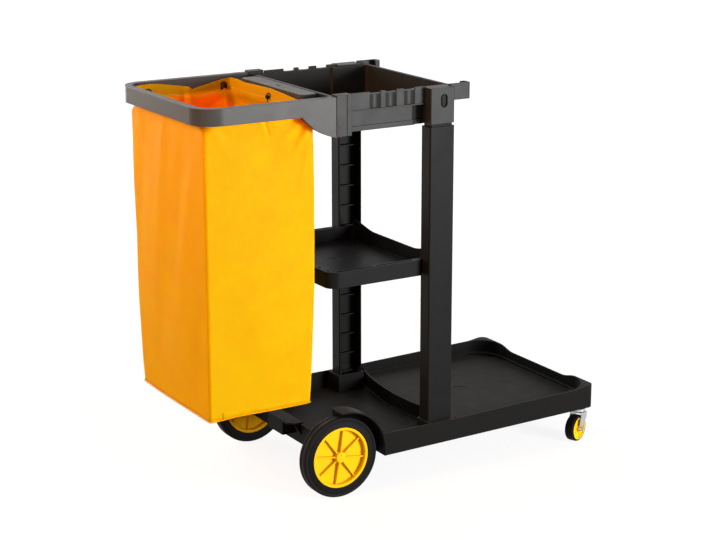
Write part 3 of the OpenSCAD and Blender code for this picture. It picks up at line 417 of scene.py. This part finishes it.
# %% Plan of the bag
def through(z, levels, values):
    """A curve through (level, value) pairs. Between two levels t runs from 0 to 1, and the value goes with
    the mean of t and t * t * (3 - 2 t), which softens the bends."""
    levels, values = np.asarray(levels, float), np.asarray(values, float)
    i = np.clip(np.searchsorted(levels, z) - 1, 0, len(levels) - 2)
    t = np.clip((z - levels[i]) / (levels[i + 1] - levels[i]), 0, 1)
    return values[i] + (values[i + 1] - values[i]) * (0.5 * t + 0.5 * t * t * (3 - 2 * t))


# Heights in millimetres and the place of each face there: X for the ends, Y for the sides
LEFT = ([236, 600, 880, 936, 950], [-534, -536.5, -538.5, -538.2, -537.3])
RIGHT = ([236, 300, 372, 450, 530, 640, 764, 860, 919, 945],
         [-262, -258, -254.5, -251.5, -249, -248.5, -248.5, -250, -253, -263])
NEAR = ([236, 600, 900, 936, 950], [-188.5, -193, -196, -197, -203.4])
# The far side at its two corners: the left one shows in the photograph, the right one is hidden
FAR_LEFT = ([236, 244, 262, 300, 377, 453, 530, 607, 682, 757, 870, 936, 950],
            [181, 177, 181, 186, 191, 196, 196, 194, 197, 199, 196, 197, 203.4])
FAR_RIGHT = ([236, 900, 936, 950], [186, 193, 196, 203.4])
# The radius of the rounds at the two left corners and at the two right ones
WIDE_ROUND = ([236, 920, 940, 948], [7, 8, 34, 40])
TIGHT_ROUND = ([236, 905, 948], [7, 8, 9])

# Columns of the ring, corner by corner: near left, near right, far right, far left. Each corner
# has the columns of its round and then those of the face that leads to the next corner
PER_ROUND, PER_FACE = 8, 76
corner = np.repeat(np.arange(4), PER_ROUND + PER_FACE)
step = np.tile(np.r_[np.linspace(0, 1, PER_ROUND), np.ones(PER_FACE)], 4)
along = np.tile(np.r_[np.zeros(PER_ROUND), np.arange(1, PER_FACE + 1) / (PER_FACE + 1)], 4)
cols = np.arange(len(corner))


def bag_ring(z):
    """Plan of the bag for heights z (rows, columns): corner rounds joined by straight faces.
    A point on a round is its centre plus the radius times (cos a, sin a)."""
    left, right, wide, tight = (through(z, *p) for p in (LEFT, RIGHT, WIDE_ROUND, TIGHT_ROUND))
    near, far_left, far_right = (through(z, *p) for p in (NEAR, FAR_LEFT, FAR_RIGHT))
    corner_x, corner_y = np.stack([left, right, right, left]), np.stack([near, near, far_right, far_left])
    radius = np.stack([wide, tight, tight, wide])
    in_x, in_y = np.array([1, -1, -1, 1]), np.array([1, 1, -1, -1])

    def on_round(k, s):
        """The points of all columns on the round of corner k, at a share s of its quarter turn."""
        r = radius[k, :, cols].T
        a = np.radians(180 + 90 * k + 90 * s)
        on_x = corner_x[k, :, cols].T + r * (in_x[k] + np.cos(a))
        on_y = corner_y[k, :, cols].T + r * (in_y[k] + np.sin(a))
        return on_x, on_y

    x0, y0 = on_round(corner, step)
    x1, y1 = on_round((corner + 1) % 4, np.zeros(len(corner)))
    return x0 + (x1 - x0) * along, y0 + (y1 - y0) * along


print("bag columns:", len(cols))

# %% [markdown]
# The edge at the top rises to the pegs and dips between them, and the foot hangs a little
# lower at the end away from the tray. Folds run down from the pegs: each one is a soft ridge
# or groove on one face, from a place near a peg to a place lower down.

# %% Edge and folds
FOOT = 237.0
# The edge at the top, as heights round the ring: the whole numbers are the four corners
EDGE = (
    [0.0, 0.1, 0.26, 0.55, 0.92, 1.0, 1.1, 1.24, 1.37, 1.53, 1.67, 1.83, 1.94, 2.05, 2.15,
     2.24, 2.38, 2.43, 2.486, 2.53, 2.63, 2.73, 2.82, 2.93, 3.05, 3.1, 3.3, 3.55, 3.8, 4.0],
    [966, 966, 968, 963, 968, 967, 968, 971, 975, 979, 977.5, 975.5, 978, 977, 974.7,
     970, 962.3, 960, 956.4, 963.8, 968, 972, 976, 979, 978, 976, 966, 967, 963, 966],
)
# How far the foot hangs lower, round the same ring
SAG = ([0.0, 0.1, 0.3, 2.9, 3.1, 3.35, 3.7, 4.0], [4.0, 3.6, 0.0, 0.0, 0.5, 4.0, 4.2, 4.0])
# Folds: face, upper end, lower end (place along the face, height), width and height of the ridge
FOLDS = [
    (0, (-384, 946), (-370, 906), 4, -6.0), (0, (-376, 946), (-366, 912), 3.5, 4.0),
    (0, (-371, 946), (-362, 916), 3.5, -5.0), (0, (-392, 942), (-380, 890), 7, 2.0),
    (0, (-268, 940), (-330, 900), 7, 5.0), (0, (-260, 924), (-302, 862), 7, 5.0),
    (0, (-264, 934), (-312, 884), 6, -4.5), (0, (-282, 944), (-344, 922), 7, -3.5),
    (0, (-262, 890), (-290, 770), 10, 2.5), (0, (-520, 936), (-470, 850), 11, 2.2),
    (0, (-505, 938), (-440, 880), 9, -2.0),
    (1, (14, 950), (30, 820), 9, 3.0), (1, (-2, 950), (-50, 830), 9, -2.6),
    (1, (120, 930), (60, 780), 14, 3.0), (1, (-150, 920), (-110, 760), 16, -3.0),
    (2, (-394, 966), (-398, 880), 5, 6.0), (2, (-380, 958), (-372, 860), 8, -6.0),
    (2, (-279, 950), (-279, 870), 4, -5.0), (2, (-330, 905), (-280, 935), 10, 4.0),
    (3, (10, 940), (30, 860), 11, 1.1), (3, (-8, 940), (-40, 850), 12, -1.0),
    (3, (150, 925), (90, 800), 18, 1.2), (3, (-150, 925), (-100, 820), 18, -1.0),
]


def fold(place, z, a, b, wide, tall):
    """A soft ridge along the line from a to b: tall * exp(-(distance / wide)^2), fading to a third at b."""
    dx, dz = b[0] - a[0], b[1] - a[1]
    t = np.clip(((place - a[0]) * dx + (z - a[1]) * dz) / (dx * dx + dz * dz), 0, 1)
    away = np.hypot(place - a[0] - t * dx, z - a[1] - t * dz)
    return tall * (1 - 0.65 * t) * np.exp(-(away / wide) ** 2)


print("folds:", len(FOLDS))

# %% [markdown]
# The wall of the bag is a grid of rows and columns on that plan. The rows lie closer together
# towards the top, where the small folds are. The outward normal of the plan is worked out
# too, because waves and folds push the cloth out or in along it.

# %% Bag wall
WALL_ROWS, CROWDING = 118, 1.45
# The lowest row stands above the foot by the height of the seam
SEAM_UP = 2.5
# The share of each quarter of the ring that the round of its corner takes up
ROUND_SHARE = 0.1
turn = corner + np.where(along > 0, ROUND_SHARE + (1 - ROUND_SHARE) * along, ROUND_SHARE * step)
top = np.interp(turn, *EDGE)[None, :]
foot = FOOT - np.interp(turn, *SAG)[None, :]
climb = 1 - (1 - np.linspace(0, 1, WALL_ROWS)[:, None]) ** CROWDING
z = foot + SEAM_UP + climb * (top - foot - SEAM_UP)
x, y = bag_ring(z)

# Outward normal in plan, from the step between neighbours in the ring
tx, ty = np.roll(x, -1, 1) - np.roll(x, 1, 1), np.roll(y, -1, 1) - np.roll(y, 1, 1)
size = np.hypot(tx, ty)
nx, ny = ty / size, -tx / size
print("bag wall:", x.shape, "top edge from", round(top.min(), 1), "to", round(top.max(), 1), "mm")

# %% [markdown]
# Cloth that hangs is never flat. A few slow waves and a gentle swelling move the large faces,
# the folds are added to them, and the lowest strip of the near face stands out where the
# foot is sewn on. Within the frame the rail holds the cloth, so it moves less there.

# %% Waves and folds in the cloth
def fade(value, start, length):
    """0 up to start and then evenly up to 1 over a length; a negative length goes the other way."""
    return np.clip((value - start) / length, 0, 1)


SLOW_WAVES, WAVE_SHARE = 9, 0.55
# Each wave has its own count of waves in these lengths across and up the cloth
WAVE_ACROSS, WAVE_UP = 400, 700
# On the way across, a step along Y counts for more than one along X
Y_COUNTS = 1.7
# Heights at which the waves come in and die out, and where the faces swell, each with its length
WAVES_IN, WAVES_OUT, SWELLING = (245, 120), (935, -60), (240, 700)
# How far each of the four faces swells
SWELL = np.array([4.0, 2.5, 3.0, 4.5])
# The lowest strip: how far it stands out, its height, and where along the face it comes in
STRIP_OUT, STRIP, STRIP_ALONG = 2.6, (251, -9), (0.35, 0.3)
# Within the rail the cloth loses most of its way out and half of its way in
RAIL, HELD_OUT, HELD_IN = (938, 12), 0.9, 0.5

rng = np.random.default_rng(7)
push = np.zeros_like(x)
for wave in range(SLOW_WAVES):
    across, up = rng.uniform(0.8, 3.2) / WAVE_ACROSS, rng.uniform(0.4, 2.2) / WAVE_UP
    turns = across * (x + Y_COUNTS * y) + up * z
    push += rng.uniform(0.5, 1.1) * np.sin(2 * np.pi * turns + rng.uniform(0, 6.28))
# Waves and swelling come to nothing at the corners, and folds lose most of their height there
span = np.sin(np.pi * along)
full = np.minimum(1, span * 4 + 0.15)
push *= WAVE_SHARE * span * fade(z, *WAVES_IN) * fade(z, *WAVES_OUT)
push += span * SWELL[corner] * np.sin(np.pi * fade(z, *SWELLING))
on_face = np.where((corner == 0) | (corner == 2), x, y)
for face, a, b, wide, tall in FOLDS:
    push += np.where(corner == face, fold(on_face, z, a, b, wide, tall) * full, 0)
strip = STRIP_OUT * fade(z, *STRIP) * fade(along, *STRIP_ALONG) * span ** 0.3
push += np.where(corner == 0, strip, 0)
inside = fade(z, *RAIL)
push = np.where(push > 0, push * (1 - HELD_OUT * inside), push * (1 - HELD_IN * inside))
x, y = x + nx * push, y + ny * push
print("cloth moved by", round(push.min(), 1), "to", round(push.max(), 1), "mm")

# %% [markdown]
# The foot closes the shell: it is the lowest ring drawn in to its middle, where it dips a
# little. The cloth also gets coordinates of its own in metres, round the bag and down from
# its edge, so that weave and stitches follow the cloth. A modifier gives it its thickness.

# %% Bag shell
# Rows of the foot, the share of the lowest ring that they reach out to, and the dip in the middle
FOOT_ROWS, FOOT_IN, FOOT_DIP = 12, 0.992, 5
reach = np.sqrt(np.linspace(0, 1, FOOT_ROWS))[:-1, None]
mid_x, mid_y = x[0].mean(), y[0].mean()
under = np.stack([mid_x + (x[0] - mid_x) * reach * FOOT_IN, mid_y + (y[0] - mid_y) * reach * FOOT_IN,
                  FOOT + (foot - FOOT) * reach - FOOT_DIP * (1 - reach ** 2)], -1)
shell = np.concatenate([under, np.stack([x, y, z], -1)]) * MM

# The way round is measured along a row in the middle of the grid, and the foot counts as
# lying a little further down than the wall
MIDDLE_ROW, FOOT_DROP = 60, 0.02
ring_x, ring_y = (np.r_[v[MIDDLE_ROW], v[MIDDLE_ROW, :1]] for v in (x, y))
round_way = np.r_[0, np.cumsum(np.hypot(np.diff(ring_x), np.diff(ring_y)))] * MM
drop = (top - z) * MM
drop = np.concatenate([np.broadcast_to(drop[:1] + FOOT_DROP, (FOOT_ROWS - 1, len(cols))), drop])
uv = np.stack([np.broadcast_to(round_way, (len(shell), len(cols) + 1)), np.c_[drop, drop[:, :1]]], -1)
bag = surface("bag_shell", shell, closed=True, uv=uv)
weld(bag)
CLOTH = 1.2
thick = bag.modifiers.new("cloth", "SOLIDIFY")
thick.thickness = CLOTH * MM
thick.offset = -1.0

# %% [markdown]
# The foot of the bag is sewn to its sides with a bound seam, which shows as a narrow bead
# along the lower edge. It is a round profile carried along the lowest ring of the shell.

# %% Bound seam
# The bead's radius, how far its middle lies outside the ring and above the foot, and its points
BEAD, BEAD_OUT, BEAD_UP, BEAD_POINTS = 1.2, 0.9, 1.3, 10
t = np.linspace(0, 2 * np.pi, BEAD_POINTS, endpoint=False)[:, None]
off = BEAD_OUT + BEAD * np.cos(t)
bead = np.stack([x[0] + nx[0] * off, y[0] + ny[0] * off, foot + BEAD_UP + BEAD * np.sin(t)], -1)
binding = surface("bag_seam", np.concatenate([bead, bead[:1]])[::-1] * MM, closed=True)
weld(binding)
print("seam points:", len(binding.data.vertices))

# %% [markdown]
# Coated nylon is a plain weave with a thin film. The threads are half a millimetre apart;
# they are drawn at 1.6 mm so that they show in a close view. A row of stitches runs along
# the hem, and a bar of stitches holds the seam near the lower corner. A picture of cloth
# could show all this, but waves and lines in the cloth's own coordinates stay sharp in any
# view.

# %% Weave and stitches
# The threads as they are drawn, and the size of slow changes in the dye, in metres
THREAD, SLUB = 1.6 * MM, 0.070
# A row of stitches: its way down from the edge, half its width, its beat and a stitch's length
HEM, HEM_HALF, BEAT, STITCH = 0.024, 0.0008, 0.0055, 0.0038
# The bar of stitches: its place round and down, and half its width and length
TACK, TACK_HALF = (0.040, 0.721), (0.0011, 0.007)
cloth, tree, out = finish("coated_nylon")
lay = node(tree, "UVMap", uv_map="cloth").outputs["UV"]
# A wave texture repeats after 2 pi / 20 of a unit, so this scale gives each thread one wave
per_thread = 2 * np.pi / (20 * THREAD)
warp = node(tree, "TexWave", {"Vector": lay, "Scale": per_thread}, bands_direction="X")
weft = node(tree, "TexWave", {"Vector": lay, "Scale": per_thread}, bands_direction="Y")
weave = node(tree, "Math", {0: warp.outputs["Fac"], 1: weft.outputs["Fac"]}, operation="MAXIMUM").outputs[0]
slub = node(tree, "TexNoise", {"Vector": lay, "Scale": 1 / SLUB, "Detail": 5.0,
                               "Roughness": 0.6}).outputs["Fac"]
tone = node(tree, "MapRange", {"Value": slub, "From Min": 0.3, "From Max": 0.7}).outputs[0]
dyed = node(tree, "Mix", {"Factor": tone, "A": colour("#FA9E00"), "B": colour("#FBA502")},
            data_type="RGBA").outputs["Result"]
way = node(tree, "SeparateXYZ", {0: lay})
line = node(tree, "Math", {0: way.outputs["Y"], 1: HEM, 2: HEM_HALF}, operation="COMPARE").outputs[0]
beat = node(tree, "Math", {0: way.outputs["X"], 1: BEAT}, operation="FLOORED_MODULO").outputs[0]
dash = node(tree, "Math", {0: beat, 1: STITCH}, operation="LESS_THAN").outputs[0]
thread = node(tree, "Math", {0: line, 1: dash}, operation="MULTIPLY").outputs[0]
sewn = node(tree, "Mix", {"Factor": thread, "A": dyed, "B": colour("#FFC860")},
            data_type="RGBA").outputs["Result"]
tack_x = node(tree, "Math", {0: way.outputs["X"], 1: TACK[0], 2: TACK_HALF[0]},
              operation="COMPARE").outputs[0]
tack_y = node(tree, "Math", {0: way.outputs["Y"], 1: TACK[1], 2: TACK_HALF[1]},
              operation="COMPARE").outputs[0]
tack = node(tree, "Math", {0: tack_x, 1: tack_y}, operation="MULTIPLY").outputs[0]
sewn = node(tree, "Mix", {"Factor": tack, "A": sewn, "B": colour("#8A4A08")},
            data_type="RGBA").outputs["Result"]
print("threads", THREAD, "m apart, stitches", BEAT, "m apart")

# %% [markdown]
# Light passes into the cloth and comes out warmer, so the shaded side and the inside glow
# orange. Subsurface scattering does this when red travels further than green and blue. Fine
# creases gather under the edge: a noise that is narrow round the bag and long down it, strong
# at the hem and weak below.

# %% Creases and glow of the cloth
CREASE_WIDE, CREASE_LONG = 0.014, 0.075
narrow = node(tree, "Mapping", {"Vector": lay, "Scale": (1 / CREASE_WIDE, 1 / CREASE_LONG, 1.0)}).outputs[0]
crease = node(tree, "TexNoise", {"Vector": narrow, "Scale": 1.0, "Detail": 3.0,
                                 "Roughness": 0.55}).outputs["Fac"]
gather = node(tree, "MapRange", {"Value": way.outputs["Y"], "From Min": 0.03, "From Max": 0.16,
                                 "To Min": 1.0, "To Max": 0.12}).outputs[0]
pinch = node(tree, "Math", {0: crease, 1: gather}, operation="MULTIPLY").outputs[0]
ruffled = node(tree, "Bump", {"Strength": 0.35, "Distance": 2.2 * MM, "Height": pinch}).outputs[0]
relief = node(tree, "Math", {0: thread, 1: 3.0, 2: weave}, operation="MULTIPLY_ADD").outputs[0]
skin = node(tree, "Bump", {"Strength": 0.12, "Distance": 0.25 * MM, "Height": relief,
                           "Normal": ruffled}).outputs[0]
gloss = node(tree, "MapRange", {"Value": slub, "From Min": 0.3, "From Max": 0.7,
                                "To Min": 0.50, "To Max": 0.62}).outputs[0]
p = node(tree, "BsdfPrincipled", {
    "Base Color": sewn, "Roughness": gloss, "Normal": skin, "IOR": 1.5, "Specular IOR Level": 0.03,
    "Subsurface Weight": 0.90, "Subsurface Radius": (1.0, 0.24, 0.02), "Subsurface Scale": 8 * MM})
tree.links.new(p.outputs[0], out.inputs["Surface"])
print("cloth:", cloth.name, "with", len(tree.nodes), "nodes")

# %% [markdown]
# The shell and its seam share the cloth and ride on the cart. The shell takes the place of
# the bag's solid.

# %% Dress the bag
for piece in (bag, binding):
    piece.data.materials.append(cloth)
    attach(piece, "cart")
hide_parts("bag")
print("bag is dressed")
